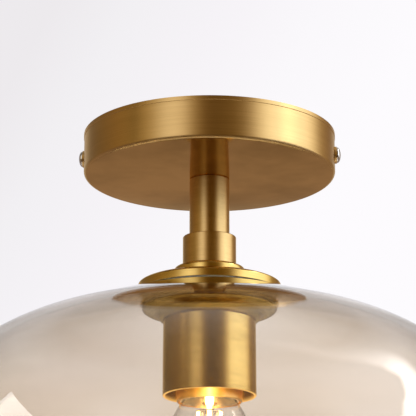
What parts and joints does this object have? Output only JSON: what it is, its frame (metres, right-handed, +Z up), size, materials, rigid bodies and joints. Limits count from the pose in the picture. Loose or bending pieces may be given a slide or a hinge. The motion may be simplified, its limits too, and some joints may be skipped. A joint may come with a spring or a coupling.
{
  "type": "glass ceiling light",
  "caption": "Semi-flush ceiling light: flat round brass canopy, short turned stem, wide rounded tinted glass shade open below, and a brass socket cup with a clear filament bulb.",
  "frame": {"origin": "centre of the ceiling plane, midway between the two ceiling slots of the bracket", "axes": "+Z up towards the ceiling, the light hangs towards -Z; X runs along the bracket, so the side screws are on +X and -X; the picture is taken from -Y"},
  "size_m": [0.3, 0.3, 0.2358],
  "materials": {
    "brushed_brass": "lathe-brushed, satin, lacquered",
    "plain_brass": "plain turned brass",
    "zinc_steel": "zinc plated",
    "nickel": "polished nickel",
    "cap_metal": "satin",
    "tinted_glass": "clear, light champagne tint",
    "clear_glass": "clear",
    "black_glass": "glossy black",
    "clear_gasket": "translucent silicone",
    "nylon": "natural nylon",
    "porcelain": "glazed white ceramic",
    "block_plastic": "milky moulded plastic",
    "brown_insulation": "satin sleeve",
    "blue_insulation": "satin sleeve",
    "green_insulation": "satin sleeve",
    "filament": "warm glowing phosphor"
  },
  "bodies": {
    "fixture": {"ceiling_bracket": "zinc_steel", "earth_screw": "plain_brass", "terminal_block": "block_plastic", "terminal_screws": "plain_brass", "live_lead": "brown_insulation", "neutral_lead": "blue_insulation", "earth_lead": "green_insulation", "canopy": "brushed_brass", "canopy_lock_washer": "zinc_steel", "canopy_nut": "plain_brass", "threaded_tube": "zinc_steel", "stem_tube": "brushed_brass", "stem_bushes": "zinc_steel", "stem_collar": "brushed_brass", "step_ring": "brushed_brass", "upper_dish": "brushed_brass", "upper_gasket": "clear_gasket", "glass_shade": "tinted_glass", "lower_gasket": "clear_gasket", "centring_disc": "nylon", "lower_dish": "brushed_brass", "socket_cup": "brushed_brass", "cup_lock_washer": "zinc_steel", "holder_cap": "porcelain", "holder_core": "porcelain", "holder_sleeve": "plain_brass", "screw_shell": "plain_brass", "centre_contact": "plain_brass", "holder_terminals": "plain_brass"},
    "bulb": {"bulb_contact": "nickel", "bulb_insulator": "black_glass", "bulb_cap": "cap_metal", "bulb_glass": "clear_glass", "bulb_stem": "clear_glass", "bulb_supports": "nickel", "bulb_filaments": "filament"},
    "left_washer": {"side_washer_left": "plain_brass"},
    "left_screw": {"side_screw_left": "nickel"},
    "right_washer": {"side_washer_right": "plain_brass"},
    "right_screw": {"side_screw_right": "nickel"}
  },
  "joints": [
    {"name": "bulb_draw", "type": "slide", "parent": "fixture", "child": "bulb", "axis": [0, 0, -1], "range_m": [0, 0.145]},
    {"name": "left_screw_draw", "type": "slide", "parent": "fixture", "child": "left_washer", "axis": [-1, 0, 0], "range_m": [0, 0.00565]},
    {"name": "left_screw_turn", "type": "hinge", "parent": "left_washer", "child": "left_screw", "pos_m": [-0.0609, 0, -0.01], "axis": [-1, 0, 0], "range_deg": [0, 2910]},
    {"name": "right_screw_draw", "type": "slide", "parent": "fixture", "child": "right_washer", "axis": [1, 0, 0], "range_m": [0, 0.00565]},
    {"name": "right_screw_turn", "type": "hinge", "parent": "right_washer", "child": "right_screw", "pos_m": [0.0609, 0, -0.01], "axis": [1, 0, 0], "range_deg": [0, 2910]}
  ],
  "couplings": [
    {"joint": "left_screw_turn", "follows": "left_screw_draw", "rad_per_m": 8976},
    {"joint": "right_screw_turn", "follows": "right_screw_draw", "rad_per_m": 8976}
  ]
}
